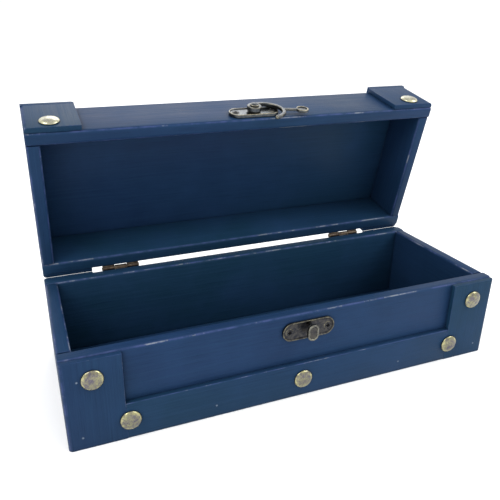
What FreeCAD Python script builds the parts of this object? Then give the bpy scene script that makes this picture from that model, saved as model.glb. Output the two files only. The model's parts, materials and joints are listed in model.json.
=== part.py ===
import FreeCAD, Part
import math
import os
import re

# A painted wooden chest with a hinged lid, nailed bands at its ends and a swing-hook latch.
# The origin is the middle of the chest's underside: +X to the right along its length,
# +Y to the back and +Z up. Lid pieces are drawn closed, in a frame whose origin lies on the
# hinge pins' axis, and then turned open together until the back bands stop the lid.

SIZES = [
    ("length", 350, "chest, left to right"),
    ("depth", 125, "chest, front to back, without its bands"),
    ("base_height", 70, "base boards"),
    ("lid_height", 44, "lid boards"),
    ("board", 10, "thickness of the four wall boards"),
    ("panel", 5, "thickness of the floor and of the lid's top panel"),
    ("rim_round", 2.4, "rounding of the rims"),
    ("hinge_edge_round", 0.8, "rounding of the two rim edges beside the hinges"),
    ("seam_gap", 0.4, "gap between the rims when the lid is shut"),
    ("band", 4, "thickness of the bands"),
    ("band_width", 40, "width of the bands"),
    ("strip_height", 29, "height of the strip between the front bands"),
    ("band_setback", 0.84, "bands end this far short of the rims"),
    ("band_round", 0.8, "rounding of the bands' edges"),
    ("corner_round", 3, "rounding of the bands' outer upright edges"),
    ("pin_offset", 2.7, "hinge axis behind the back walls"),
    ("pin_radius", 1, "hinge pin"),
    ("pin_head", 0.5, "length of each riveted pin end"),
    ("running_fit", 0.05, "radial clearance of a turning or driven shank"),
    ("knuckle_radius", 2.2, "hinge barrel"),
    ("knuckle_gap", 0.3, "between two knuckles"),
    ("leaf", 0.9, "thickness of a hinge leaf"),
    ("leaf_height", 12, "hinge leaf, away from its barrel"),
    ("leaf_length", 31, "hinge, along its pin"),
    ("leaf_relief", 0.35, "between a leaf's edge and the barrel"),
    ("hinge_inset", 64, "from the chest's end to the middle of a hinge"),
    ("leaf_screw_spread", 10, "each hinge screw from the middle of its leaf"),
    ("leaf_screw_head", 1.9, "radius of a hinge screw's head"),
    ("leaf_screw_shank", 0.9, "radius of a hinge screw's shank"),
    ("leaf_screw_length", 8, "hinge screw"),
    ("stop_play", 0.4, "degrees that the open lid keeps short of its stop"),
    ("nail_head", 7.5, "radius of a domed nail's head"),
    ("nail_rise", 3, "height of the dome"),
    ("nail_shank", 0.9, "radius of a domed nail's shank"),
    ("nail_length", 11, "shank below the head"),
    ("band_nail_inset", 20, "base band nail from the chest's end"),
    ("band_nail_drop", 16, "base band nail below the rim"),
    ("strip_nail_height", 15.3, "strip nails above the underside"),
    ("strip_nail_shift", 2.6, "strip's end nails, right of the joint with the band"),
    ("lid_nail_inset", 18.5, "lid nail from the chest's end"),
    ("lid_nail_rise", 11, "lid nail above the lid's rim"),
    ("brad", 0.75, "radius of a panel pin's head and shank"),
    ("brad_length", 12, "panel pin"),
    ("brad_height", 9.5, "lower panel pins above the underside"),
    ("latch_centre", 3.7, "latch, right of the chest's middle"),
    ("plate_length", 42.8, "latch plates"),
    ("plate_height", 15, "latch plates"),
    ("plate_rim", 1.1, "raised rim round a latch plate"),
    ("plate_dish", 0.8, "depth of the plate's face below its rim"),
    ("catch_plate", 2, "thickness of the catch plate"),
    ("hook_plate", 3, "thickness of the hook plate"),
    ("plate_screw_spread", 15.9, "each latch screw from the middle of its plate"),
    ("plate_screw_head", 3.1, "radius of a latch screw's head"),
    ("plate_screw_rise", 0.8, "height of a latch screw's head"),
    ("plate_screw_shank", 1.1, "radius of a latch screw's shank"),
    ("plate_screw_length", 9, "latch screw below its head"),
    ("screw_slot", 0.8, "width of a screw's cross recess"),
    ("screw_slot_depth", 0.6, "depth of a screw's cross recess"),
    ("catch_drop", 13.4, "middle of the catch plate below the base's rim"),
    ("stem_rise", 4.6, "catch stem above the middle of its plate"),
    ("stem_radius", 1.7, "catch stem"),
    ("catch_head_width", 9, "catch head"),
    ("catch_head_height", 13.2, "catch head"),
    ("catch_head", 2.6, "thickness of the catch head"),
    ("catch_head_rise", 0.6, "middle of the catch head above the middle of its plate"),
    ("pivot_rise", 10.3, "hook's pivot above the lid's rim"),
    ("rivet_radius", 1.6, "rivet that the hook turns on"),
    ("rivet_head", 3.9, "radius of the rivet's domed head"),
    ("rivet_head_rise", 1.8, "height of the rivet's domed head"),
    ("hook_float", 0.3, "gap between the hook and the plate, and under the heads"),
    ("hook_eye", 6, "outer radius of the hook's eye"),
    ("hook_eye_thickness", 4.2, "hook's eye"),
    ("hook_thickness", 3, "hook's bow"),
    ("bow_back", 10.1, "middle of the bow from the stem, towards the pivot"),
    ("bow_drop", 4.2, "middle of the bow to one side of the line from pivot to stem"),
    ("bow_play", 0.34, "gap between the bow and the stem"),
    ("bow_width", 2.9, "width of the bow"),
    ("bow_tip_angle", 68, "degrees from the stem's line to the bow's tip"),
    ("bow_root_angle", 160, "degrees from the stem's line to the bow's root"),
    ("tip_radius", 1.6, "ball at the bow's tip"),
    ("neck_width", 2.2, "neck between the bow and the thumb disc"),
    ("neck_thickness", 1.5, "neck and the raised rim of the thumb disc"),
    ("disc_reach", 21.5, "thumb disc's centre beyond the stem"),
    ("disc_radius", 5.25, "thumb disc"),
    ("disc_rim", 1.1, "raised rim of the thumb disc"),
    ("disc_dish", 0.5, "depth of the thumb disc's face below its rim"),
    ("hook_droop", 10.3, "degrees that the open hook points below level"),
]

doc = FreeCAD.newDocument("wooden_chest")
sheet = doc.addObject("Spreadsheet::Sheet", "Sizes")
for row, (alias, number, meaning) in enumerate(SIZES, start=1):
    sheet.set(f"A{row}", meaning)
    sheet.set(f"B{row}", str(number))
    sheet.setAlias(f"B{row}", alias)
doc.recompute()

ALIASES = [alias for alias, number, meaning in SIZES]
SIDES = {"left": -1, "right": 1}
PIECES = []


def bound(words):
    """The words as an expression of the sheet: each size's name becomes its cell."""
    names = sorted(ALIASES, key=len, reverse=True)
    return re.sub(r"\b(" + "|".join(names) + r")\b", r"Sizes.\1", words)


def size(words):
    """The number that an expression of the sheet's sizes comes to."""
    total = sheet.evalExpression(bound(words))
    return float(getattr(total, "Value", total))


def bind(item, **fields):
    for field, words in fields.items():
        item.setExpression(field.replace("_", "."), bound(words))


def place(item, x="0", y="0", z="0"):
    bind(item, Placement_Base_x=x, Placement_Base_y=y, Placement_Base_z=z)
    return item


def box(name, x, y, z, length, width, height):
    """A block with its low corner at x, y, z."""
    item = doc.addObject("Part::Box", name)
    bind(item, Length=length, Width=width, Height=height)
    return place(item, x, y, z)


def rod(name, x, y, z, radius, height, along="Z", sweep="360"):
    """A cylinder that starts at x, y, z and runs along +Z, +Y or +X."""
    item = doc.addObject("Part::Cylinder", name)
    bind(item, Radius=radius, Height=height, Angle=sweep)
    turns = {"Z": FreeCAD.Rotation(), "Y": FreeCAD.Rotation(FreeCAD.Vector(1, 0, 0), -90),
             "X": FreeCAD.Rotation(FreeCAD.Vector(0, 1, 0), 90)}
    item.Placement = FreeCAD.Placement(FreeCAD.Vector(), turns[along])
    return place(item, x, y, z)


def ball(name, x, y, z, radius):
    item = doc.addObject("Part::Sphere", name)
    bind(item, Radius=radius)
    return place(item, x, y, z)


def fuse(name, *shapes):
    item = doc.addObject("Part::MultiFuse", name)
    item.Shapes = list(shapes)
    return item


def common(name, first, second):
    item = doc.addObject("Part::Common", name)
    item.Base = first
    item.Tool = second
    return item


def cut(name, solid, *tools):
    item = doc.addObject("Part::Cut", name)
    item.Base = solid
    item.Tool = tools[0] if len(tools) == 1 else fuse(f"{name}_tools", *tools)
    return item


def group(name, solids):
    item = doc.addObject("Part::Compound", name)
    item.Links = list(solids)
    return item


def rounded(name, solid, radius, picked):
    """The solid with the edges rounded whose middle point and direction are picked."""
    doc.recompute()
    chosen = []
    for number, edge in enumerate(solid.Shape.Edges, start=1):
        middle = edge.valueAt((edge.FirstParameter + edge.LastParameter) / 2)
        if picked(middle, edge.tangentAt(edge.FirstParameter)):
            chosen.append((number, size(radius), size(radius)))
    item = doc.addObject("Part::Fillet", name)
    item.Base = solid
    item.Edges = chosen
    return item


def near(first, second):
    return abs(first - second) < 0.01


def piece(label, item, placement=None):
    """Names a finished sub-part and turns it into its place."""
    item.Label = label
    if placement is not None:
        item.Placement = placement.multiply(item.Placement)
    PIECES.append(item)


# Hinge axis, and the angle at which the back bands' ends meet. Each band's end corner lies
# band - pin_offset behind the axis and band_setback + half the seam above or below it.
AXIS_Y = "(depth / 2 + pin_offset)"
AXIS_Z = "(base_height + seam_gap / 2)"
open_angle = 2 * math.degrees(math.atan2(size("band_setback + seam_gap / 2"), size("band - pin_offset")))
open_angle -= size("stop_play")
ACROSS = FreeCAD.Vector(1, 0, 0)
HINGE = FreeCAD.Vector(0, size(AXIS_Y), size(AXIS_Z))
LID = FreeCAD.Placement(HINGE, FreeCAD.Rotation(ACROSS, -open_angle))

# Places in the lid's frame, closed.
LID_BACK = "-pin_offset"
LID_FRONT = "-(pin_offset + depth)"
LID_RIM = "seam_gap / 2"
LID_TOP = "(seam_gap / 2 + lid_height)"

# Nails, pins and screws go into a front face: x to the right, height above the underside or
# above the hinge axis. Their holes have the running fit round the shank.
BASE_NAILS = [
    ("-(length / 2 - band_nail_inset)", "(base_height - band_nail_drop)"),
    ("-(length / 2 - band_width) + strip_nail_shift", "strip_nail_height"),
    ("0", "strip_nail_height"),
    ("(length / 2 - band_width) + strip_nail_shift", "strip_nail_height"),
    ("(length / 2 - band_nail_inset)", "(base_height - band_nail_drop)"),
]
LID_NAILS = [
    ("-(length / 2 - lid_nail_inset)", "(seam_gap / 2 + lid_nail_rise)"),
    ("(length / 2 - lid_nail_inset)", "(seam_gap / 2 + lid_nail_rise)"),
]
BASE_BRADS = [
    ("-(length / 2 - band_nail_inset / 2)", "(base_height - band_nail_drop)"),
    ("-(length / 2 - band_nail_inset / 2)", "brad_height"),
    ("(length / 2 - band_nail_inset / 2)", "brad_height"),
    ("-length / 5", "brad_height"),
    ("length / 4", "brad_height"),
]
CATCH_HEIGHT = "(base_height - catch_drop)"
PIVOT_HEIGHT = "(seam_gap / 2 + pivot_rise)"
PLATE_SCREWS = ["latch_centre - plate_screw_spread", "latch_centre + plate_screw_spread"]
HINGE_SCREWS = [f"{side} * (length / 2 - hinge_inset) + {way} * leaf_screw_spread"
                for side in SIDES.values() for way in (-1, 1)]
LEAF_EDGE = "(knuckle_radius + leaf_relief)"
LEAF_MIDDLE = "(knuckle_radius + leaf_relief + leaf_height / 2)"


def drilled(name, solid, holes):
    """The solid with holes along Y: each hole is x, y where it starts, z, radius and depth."""
    tools = [rod(f"{name}_hole{number}", x, y, z, radius, depth, along="Y")
             for number, (x, y, z, radius, depth) in enumerate(holes)]
    return cut(f"{name}_drilled", solid, *tools)


def nail_holes(spots, face):
    return [(x, face, z, "nail_shank + running_fit", "nail_length + running_fit") for x, z in spots]


def brad_holes(spots, face):
    return [(x, face, z, "brad + running_fit", "brad_length + running_fit") for x, z in spots]


def plate_screw_holes(height, face, thickness):
    depth = f"{thickness} - plate_dish + plate_screw_length"
    start = f"{face} - {thickness} + plate_dish"
    return [(x, start, height, "plate_screw_shank + running_fit", depth) for x in PLATE_SCREWS]


def leaf_screw_holes(back, height):
    start = f"{back} + leaf - leaf_screw_length - running_fit"
    return [(x, start, height, "leaf_screw_shank + running_fit", "leaf_screw_length")
            for x in HINGE_SCREWS]


def walls(part, front, back, foot, rim, placement, front_holes, back_holes):
    """Four boards: the front and back run the full length, with the ends between them.
    The rim is at the height rim, and the boards reach from it to foot."""
    low = foot if size(foot) < size(rim) else rim
    height = f"{part}_height"
    boards = {
        "front": box(f"{part}_front_board", "-length / 2", front, low, "length", "board", height),
        "rear": box(f"{part}_rear_board", "-length / 2", f"{back} - board", low, "length", "board", height),
        "left": box(f"{part}_left_board", "-length / 2", f"{front} + board", low,
                    "board", "depth - 2 * board", height),
        "right": box(f"{part}_right_board", "length / 2 - board", f"{front} + board", low,
                     "board", "depth - 2 * board", height),
    }
    holes = {"front": front_holes, "rear": back_holes}
    for side, board in boards.items():
        run = 0 if side in ("front", "rear") else 1
        solid = rounded(f"{part}_{side}_round", board, "rim_round",
                        lambda middle, along: near(middle.z, size(rim)) and abs(along[run]) > 0.9
                        and not near(middle.y, size(back)))
        if side == "rear":
            solid = rounded(f"{part}_hinge_edge", solid, "hinge_edge_round",
                            lambda middle, along: near(middle.z, size(rim)) and near(middle.y, size(back)))
        if side in holes:
            solid = drilled(f"{part}_{side}", solid, holes[side])
        piece(f"{part}_{side}_wall", solid, placement)


def panel(label, front, foot, placement=None):
    """A thin panel let in between the four walls."""
    board = box(f"{label}_board", "-length / 2 + board", f"{front} + board", foot,
                "length - 2 * board", "depth - 2 * board", "panel")
    piece(label, group(f"{label}_let_in", [board]), placement)


def end_band(label, side, outward, face, low, height, holes, placement=None):
    """An upright band at one end of a front (outward -1) or back (outward 1) wall."""
    x = "-length / 2" if side < 0 else "length / 2 - band_width"
    y = f"{face} - band" if outward < 0 else face
    solid = box(f"{label}_strip", x, y, low, "band_width", "band", height)
    skin = size(face) + outward * size("band")
    end = side * size("length / 2")
    solid = rounded(f"{label}_corner", solid, "corner_round",
                    lambda middle, along: near(middle.x, end) and near(middle.y, skin) and abs(along.z) > 0.9)
    solid = rounded(f"{label}_edges", solid, "band_round",
                    lambda middle, along: near(middle.y, skin) and not near(middle.x, end))
    if holes:
        solid = drilled(label, solid, holes)
    piece(label, solid, placement)


def facing(x, y, z, turn=0):
    """From a plan drawn x right, y up, z outwards to a place on a front face."""
    upright = FreeCAD.Rotation(ACROSS, 90).multiply(FreeCAD.Rotation(FreeCAD.Vector(0, 0, 1), turn))
    return FreeCAD.Placement(FreeCAD.Vector(size(x), size(y), size(z)), upright)


def dome(name, radius, rise, foot="0"):
    """A shallow cap with its flat side on the plane at foot."""
    curve = f"(({radius}) ^ 2 + ({rise}) ^ 2) / (2 * {rise})"
    whole = ball(f"{name}_ball", "0", "0", f"{foot} + {rise} - {curve}", curve)
    slug = rod(f"{name}_slug", "0", "0", foot, radius, rise)
    return common(f"{name}_cap", whole, slug)


def nails(label, spots, face, placement=None):
    """Domed nails driven into a front face."""
    solids = []
    for number, (x, z) in enumerate(spots):
        name = f"{label}_{number}"
        head = dome(name, "nail_head", "nail_rise")
        shank = rod(f"{name}_shank", "0", "0", "-nail_length", "nail_shank", "nail_length + nail_rise / 2")
        nail = fuse(name, head, shank)
        nail.Placement = facing(x, face, z)
        solids.append(nail)
    piece(label, group(f"{label}_set", solids), placement)


def brads(label, spots, face):
    """Headless panel pins, flush with the band."""
    solids = []
    for number, (x, z) in enumerate(spots):
        solids.append(rod(f"{label}_{number}", x, face, z, "brad", "brad_length", along="Y"))
    piece(label, group(f"{label}_set", solids))


def cross_recess(name, top):
    """Two crossed slots whose open ends are at the height top."""
    arms = []
    long_and_wide = [("3.4 * screw_slot", "screw_slot"), ("screw_slot", "3.4 * screw_slot")]
    for number, (length, width) in enumerate(long_and_wide):
        arms.append(box(f"{name}_slot{number}", f"-{length} / 2", f"-{width} / 2",
                        f"{top} - screw_slot_depth", length, width, "2 * screw_slot_depth"))
    return fuse(f"{name}_cross", *arms)


def plate_screws(label, face, height, thickness, placement=None):
    """Two round-headed screws through a latch plate. Their heads sit on its dished face."""
    solids = []
    for number, x in enumerate(PLATE_SCREWS):
        name = f"{label}_{number}"
        head = dome(name, "plate_screw_head", "plate_screw_rise")
        head = cut(f"{name}_driven", head, cross_recess(name, "plate_screw_rise"))
        shank = rod(f"{name}_shank", "0", "0", "-(plate_screw_length - running_fit)", "plate_screw_shank",
                    "plate_screw_length - running_fit + 0.1 * plate_screw_rise")
        screw = fuse(name, head, shank)
        screw.Placement = facing(x, f"{face} - {thickness} + plate_dish", height)
        solids.append(screw)
    piece(label, group(f"{label}_set", solids), placement)


def stadium(name, length, height, low, thickness):
    """A plate with half-round ends, centred on the plan's origin."""
    middle = box(f"{name}_middle", f"-({length} - {height}) / 2", f"-{height} / 2", low,
                 f"{length} - {height}", height, thickness)
    ends = [rod(f"{name}_{side}_end", f"{sign} * ({length} - {height}) / 2", "0", low,
                f"{height} / 2", thickness) for side, sign in SIDES.items()]
    return fuse(name, middle, *ends)


def latch_plate(label, face, height, thickness, bore, bore_height, placement=None):
    """A dished plate with a raised rim, two screw holes and one bore."""
    blank = stadium(f"{label}_blank", "plate_length", "plate_height", "0", thickness)
    dish = stadium(f"{label}_dish", "(plate_length - 2 * plate_rim)", "(plate_height - 2 * plate_rim)",
                   f"{thickness} - plate_dish", "2 * plate_dish")
    holes = [rod(f"{label}_screw{side}", f"{side} * plate_screw_spread", "0", "-1",
                 "plate_screw_shank + running_fit", f"{thickness} + 2") for side in SIDES.values()]
    holes.append(rod(f"{label}_bore", "0", bore_height, "-1", f"{bore} + running_fit", f"{thickness} + 2"))
    item = cut(f"{label}_plate", blank, dish, *holes)
    item.Placement = facing("latch_centre", face, height)
    piece(label, item, placement)


def catch_post():
    """The stem that the bow swings behind, and the upright oval head in front of it."""
    back = "(hook_plate + 2 * hook_float + hook_thickness / 2 + tip_radius)"
    straight = "(catch_head_height - catch_head_width) / 2"
    ends = [rod(f"catch_head_{end}", "0", f"{way} * {straight}", back, "catch_head_width / 2", "catch_head")
            for end, way in (("foot", -1), ("top", 1))]
    middle = box("catch_head_middle", "-catch_head_width / 2", f"-{straight}", back,
                 "catch_head_width", f"2 * {straight}", "catch_head")
    head = rounded("catch_head_round", fuse("catch_head_blank", middle, *ends), "0.3 * catch_head",
                   lambda centre, along: centre.z > size(back) + 0.01 and abs(along.z) < 0.1)
    length = f"{back} + catch_head / 2"
    stem = rod("catch_stem", "0", "stem_rise - catch_head_rise", "0", "stem_radius", length)
    item = fuse("catch_post_solid", head, stem)
    item.Placement = facing("latch_centre", "-depth / 2", f"{CATCH_HEIGHT} + catch_head_rise")
    piece("catch_post", item)


def hook_frame():
    """The hook's own frame: the pivot at its origin, and x towards the thumb disc."""
    return LID.multiply(facing("latch_centre", LID_FRONT, PIVOT_HEIGHT, -size("hook_droop")))


def swing_hook():
    """Eye, bow, ball tip, neck and thumb disc in one casting. The bow's size comes from the
    distance between the pivot and the stem when the lid is shut."""
    reach = "(seam_gap + pivot_rise + catch_drop - stem_rise)"
    middle = f"({reach} - bow_back)"
    inner = "(sqrt(bow_back ^ 2 + bow_drop ^ 2) + stem_radius + bow_play)"
    back = "(hook_plate + hook_float)"
    bow = rod("hook_bow_blank", middle, "-bow_drop", back, f"{inner} + bow_width", "hook_thickness",
              sweep="bow_root_angle + bow_tip_angle")
    spot = bow.Placement.Base
    bow.Placement = FreeCAD.Placement(spot, FreeCAD.Rotation(FreeCAD.Vector(0, 0, 1), -size("bow_tip_angle")))
    inside = rod("hook_bow_inside", middle, "-bow_drop", f"{back} - 1", inner, "hook_thickness + 2")
    eye = rod("hook_eye_ring", "0", "0", back, "hook_eye", "hook_eye_thickness")
    swing = f"({inner} + tip_radius + bow_play)"
    tip = ball("hook_tip", f"{middle} + {swing} * cos(bow_tip_angle * 1 deg)",
               f"-bow_drop - {swing} * sin(bow_tip_angle * 1 deg)",
               f"{back} + hook_thickness / 2", "tip_radius")
    start = f"({middle} + {inner})"
    neck = box("hook_neck", start, "-neck_width / 2", back,
               f"{reach} + disc_reach - {start} - disc_radius + disc_rim", "neck_width", "neck_thickness")
    disc = rod("hook_disc", f"{reach} + disc_reach", "0", back, "disc_radius", "neck_thickness + disc_dish")
    dish = rod("hook_disc_dish", f"{reach} + disc_reach", "0", f"{back} + neck_thickness",
               "disc_radius - disc_rim", "2 * disc_dish")
    bore = rod("hook_eye_bore", "0", "0", f"{back} - 1",
               "rivet_radius + running_fit", "hook_eye_thickness + 2")
    ring = cut("hook_bow", bow, inside)
    item = cut("hook_casting", fuse("hook_blank", ring, eye, tip, neck, disc), dish, bore)
    piece("swing_hook", item, hook_frame())


def hook_rivet():
    """The rivet through the hook's eye and its plate, with a domed head."""
    under = "(hook_plate + 2 * hook_float + hook_eye_thickness)"
    head = dome("hook_rivet", "rivet_head", "rivet_head_rise", foot=under)
    shank = rod("hook_rivet_shank", "0", "0", "0", "rivet_radius", f"{under} + rivet_head_rise / 2")
    piece("hook_pivot_rivet", fuse("hook_rivet_solid", head, shank), hook_frame())


def hinge(name, side):
    """A butt hinge on the back walls. The lid's leaf has the two outer knuckles."""
    middle = f"{side} * (length / 2 - hinge_inset)"
    knuckle = "((leaf_length - 2 * knuckle_gap) / 3)"
    thirds = {"base": [f"-{knuckle} / 2"],
              "lid": ["-leaf_length / 2", f"leaf_length / 2 - {knuckle}"]}
    ways = {"base": -1, "lid": 1}
    spots = {"base": FreeCAD.Placement(HINGE, FreeCAD.Rotation()), "lid": LID}
    for part, starts in thirds.items():
        label = f"hinge_{name}_{part}_leaf"
        way = ways[part]
        low = LEAF_EDGE if way > 0 else f"-({LEAF_EDGE} + leaf_height)"
        flat = box(f"{label}_flat", f"{middle} - leaf_length / 2", "-pin_offset", low,
                   "leaf_length", "leaf", "leaf_height")
        solids = [flat]
        for number, start in enumerate(starts):
            x = f"{middle} + {start}"
            solids.append(rod(f"{label}_knuckle{number}", x, "0", "0", "knuckle_radius", knuckle, along="X"))
            foot = "0" if way > 0 else f"-({LEAF_EDGE} + leaf)"
            solids.append(box(f"{label}_neck{number}", x, "-pin_offset", foot,
                              knuckle, "leaf", f"{LEAF_EDGE} + leaf"))
        bore = rod(f"{label}_bore", f"{middle} - leaf_length", "0", "0",
                   "pin_radius + running_fit", "2 * leaf_length", along="X")
        tools = [bore]
        for number, spread in enumerate(("-leaf_screw_spread", "leaf_screw_spread")):
            x = f"{middle} + {spread}"
            z = f"{way} * {LEAF_MIDDLE}"
            tools.append(rod(f"{label}_screw{number}", x, "-pin_offset - leaf", z,
                             "leaf_screw_shank + running_fit", "3 * leaf", along="Y"))
        piece(label, cut(f"{label}_solid", fuse(f"{label}_blank", *solids), *tools), spots[part])
    pin = rod(f"hinge_{name}_pin_rod", f"{middle} - leaf_length / 2 - pin_head", "0", "0", "pin_radius",
              "leaf_length + 2 * pin_head", along="X")
    ends = []
    for end, way in SIDES.items():
        x = f"{middle} + {way} * (leaf_length + pin_head) / 2 - pin_head / 2"
        ends.append(rod(f"hinge_{name}_pin_{end}_end", x, "0", "0", "1.5 * pin_radius", "pin_head",
                        along="X"))
    piece(f"hinge_{name}_pin", fuse(f"hinge_{name}_pin_solid", pin, *ends), spots["base"])


def leaf_screws(label, part, way, placement):
    """The four small screws that hold one part's two hinge leaves."""
    solids = []
    for number, x in enumerate(HINGE_SCREWS):
        name = f"{label}_{number}"
        head = dome(name, "leaf_screw_head", "leaf")
        head = cut(f"{name}_driven", head, cross_recess(name, "leaf"))
        shank = rod(f"{name}_shank", "0", "0", "-(leaf_screw_length - leaf)", "leaf_screw_shank",
                    "leaf_screw_length - leaf + 0.1 * leaf")
        screw = fuse(name, head, shank)
        upright = FreeCAD.Rotation(ACROSS, -90)
        spot = FreeCAD.Vector(size(x), size("leaf - pin_offset"), way * size(LEAF_MIDDLE))
        screw.Placement = FreeCAD.Placement(spot, upright)
        solids.append(screw)
    piece(label, group(f"{label}_set", solids), placement)


# Base: boards, floor, bands and strip.
FRONT = "-depth / 2"
BACK = "depth / 2"
BAND_FACE = "-depth / 2 - band"
base_front_holes = nail_holes(BASE_NAILS, BAND_FACE) + brad_holes(BASE_BRADS, BAND_FACE)
catch_holes = plate_screw_holes(CATCH_HEIGHT, FRONT, "catch_plate")
base_back_holes = leaf_screw_holes(BACK, f"{AXIS_Z} - {LEAF_MIDDLE}")
walls("base", FRONT, BACK, "0", "base_height", None, base_front_holes + catch_holes, base_back_holes)
panel("base_floor", FRONT, "0")
for side_name, side_sign in SIDES.items():
    end_band(f"base_front_band_{side_name}", side_sign, -1, FRONT, "0", "base_height - band_setback",
             base_front_holes)
    end_band(f"base_rear_band_{side_name}", side_sign, 1, BACK, "0", "base_height - band_setback", [])
strip = box("strip_board", "-length / 2 + band_width", BAND_FACE, "0",
            "length - 2 * band_width", "band", "strip_height")
strip = rounded("strip_round", strip, "band_round",
                lambda middle, along: near(middle.y, size(BAND_FACE)) and abs(along.x) > 0.9)
piece("base_front_bottom_strip", drilled("base_front_bottom_strip", strip, base_front_holes))
nails("base_front_nails", BASE_NAILS, BAND_FACE)
brads("base_band_pins", BASE_BRADS, BAND_FACE)

# Lid: boards, top panel and bands. The top bands cover the ends of the front and back bands.
lid_front_holes = nail_holes(LID_NAILS, f"{LID_FRONT} - band")
hook_plate_holes = plate_screw_holes(PIVOT_HEIGHT, LID_FRONT, "hook_plate")
lid_back_holes = leaf_screw_holes(LID_BACK, LEAF_MIDDLE)
walls("lid", LID_FRONT, LID_BACK, LID_TOP, LID_RIM, LID, lid_front_holes + hook_plate_holes, lid_back_holes)
panel("lid_top_panel", LID_FRONT, f"{LID_TOP} - panel", LID)
for side_name, side_sign in SIDES.items():
    band_foot = f"{LID_RIM} + band_setback"
    band_height = "lid_height - band_setback"
    end_band(f"lid_front_band_{side_name}", side_sign, -1, LID_FRONT, band_foot, band_height,
             lid_front_holes, LID)
    end_band(f"lid_rear_band_{side_name}", side_sign, 1, LID_BACK, band_foot, band_height, [], LID)
    top_x = "-length / 2" if side_sign < 0 else "length / 2 - band_width"
    top = box(f"lid_top_band_{side_name}_strip", top_x, f"{LID_FRONT} - band", LID_TOP,
              "band_width", "depth + 2 * band", "band")
    crown = size(f"{LID_TOP} + band")
    top = rounded(f"lid_top_band_{side_name}_round", top, "band_round",
                  lambda middle, along: near(middle.z, crown))
    piece(f"lid_top_band_{side_name}", top, LID)
nails("lid_front_nails", LID_NAILS, f"{LID_FRONT} - band", LID)

# Hinges and latch.
for side_name, side_sign in SIDES.items():
    hinge(side_name, side_sign)
leaf_screws("hinge_base_screws", "base", -1, FreeCAD.Placement(HINGE, FreeCAD.Rotation()))
leaf_screws("hinge_lid_screws", "lid", 1, LID)
latch_plate("catch_plate", FRONT, CATCH_HEIGHT, "catch_plate", "stem_radius", "stem_rise")
catch_post()
plate_screws("catch_plate_screws", FRONT, CATCH_HEIGHT, "catch_plate")
latch_plate("hook_plate", LID_FRONT, PIVOT_HEIGHT, "hook_plate", "rivet_radius", "0", LID)
plate_screws("hook_plate_screws", LID_FRONT, PIVOT_HEIGHT, "hook_plate", LID)
hook_rivet()
swing_hook()
doc.recompute()

failed = [item.Name for item in doc.Objects if {"Invalid", "Error"} & set(item.State)]
if failed:
    raise RuntimeError(f"these objects failed: {failed}")
for item in PIECES:
    if item.Shape.isNull() or not item.Shape.isValid():
        raise RuntimeError(f"{item.Label} has no valid shape")
os.makedirs("parts", exist_ok=True)
for item in PIECES:
    item.Shape.exportStep(f"parts/{item.Label}.step")

pivot = hook_frame().Base
outward = LID.Rotation.multVec(FreeCAD.Vector(0, -1, 0))
print(f"{len(PIECES)} pieces; the lid is open {open_angle:.3f} degrees")
print(f"hinge axis at y {HINGE.y:.4f}, z {HINGE.z:.4f}, along X")
print(f"hook pivot at {pivot.x:.4f}, {pivot.y:.4f}, {pivot.z:.4f}, along {tuple(outward)}")
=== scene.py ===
# %% [markdown]
# # A navy chest with nailed bands and a swing-hook latch
# This lesson dresses a finished, jointed model of a small wooden chest. The joinery already
# knows every size, so each piece made here asks the frame where it belongs. We make the
# boards, the bands and the brass fittings, give each a finish, and light them on a pale floor.

# %% Load the frame
import json
import math

import bmesh
import bpy
from mathutils import Matrix, Vector, noise

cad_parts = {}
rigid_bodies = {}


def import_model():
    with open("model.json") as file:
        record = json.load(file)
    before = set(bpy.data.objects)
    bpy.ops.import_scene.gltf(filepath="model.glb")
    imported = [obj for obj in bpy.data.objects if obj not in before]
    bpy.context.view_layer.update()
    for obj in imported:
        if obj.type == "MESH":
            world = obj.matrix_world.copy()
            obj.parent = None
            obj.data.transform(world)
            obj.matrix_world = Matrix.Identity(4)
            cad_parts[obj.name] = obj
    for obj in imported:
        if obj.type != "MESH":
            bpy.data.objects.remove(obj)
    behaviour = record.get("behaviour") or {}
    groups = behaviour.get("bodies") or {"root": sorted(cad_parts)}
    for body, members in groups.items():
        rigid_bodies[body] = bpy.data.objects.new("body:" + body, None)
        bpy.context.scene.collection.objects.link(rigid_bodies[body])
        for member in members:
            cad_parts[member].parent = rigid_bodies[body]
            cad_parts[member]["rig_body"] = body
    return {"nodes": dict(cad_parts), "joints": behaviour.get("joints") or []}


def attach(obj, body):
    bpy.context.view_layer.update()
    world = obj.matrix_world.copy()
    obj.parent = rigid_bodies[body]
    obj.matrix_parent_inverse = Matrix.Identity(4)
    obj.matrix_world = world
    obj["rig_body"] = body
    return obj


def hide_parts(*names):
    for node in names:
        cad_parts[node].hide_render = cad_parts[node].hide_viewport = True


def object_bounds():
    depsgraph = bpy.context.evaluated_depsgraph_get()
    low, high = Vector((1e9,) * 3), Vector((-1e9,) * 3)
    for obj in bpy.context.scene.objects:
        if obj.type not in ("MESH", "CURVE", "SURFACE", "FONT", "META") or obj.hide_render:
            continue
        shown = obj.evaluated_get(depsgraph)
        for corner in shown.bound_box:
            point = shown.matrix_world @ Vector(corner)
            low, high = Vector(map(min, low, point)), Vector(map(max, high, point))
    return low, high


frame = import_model()
cad_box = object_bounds()
print("frame loaded:", len(frame["nodes"]), "nodes")

# %% [markdown]
# ## Square frames for a turned lid
# The lid stands open and its hook hangs at a slant. A joiner makes a lid lying square on the
# bench and hangs it afterwards, so every piece here is drawn in millimetres in the square
# frame of its own body, and one matrix then carries it to its place in metres. The turning
# angle and the pins' axis come from the frame's joints, so nothing is fitted by eye.

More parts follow.
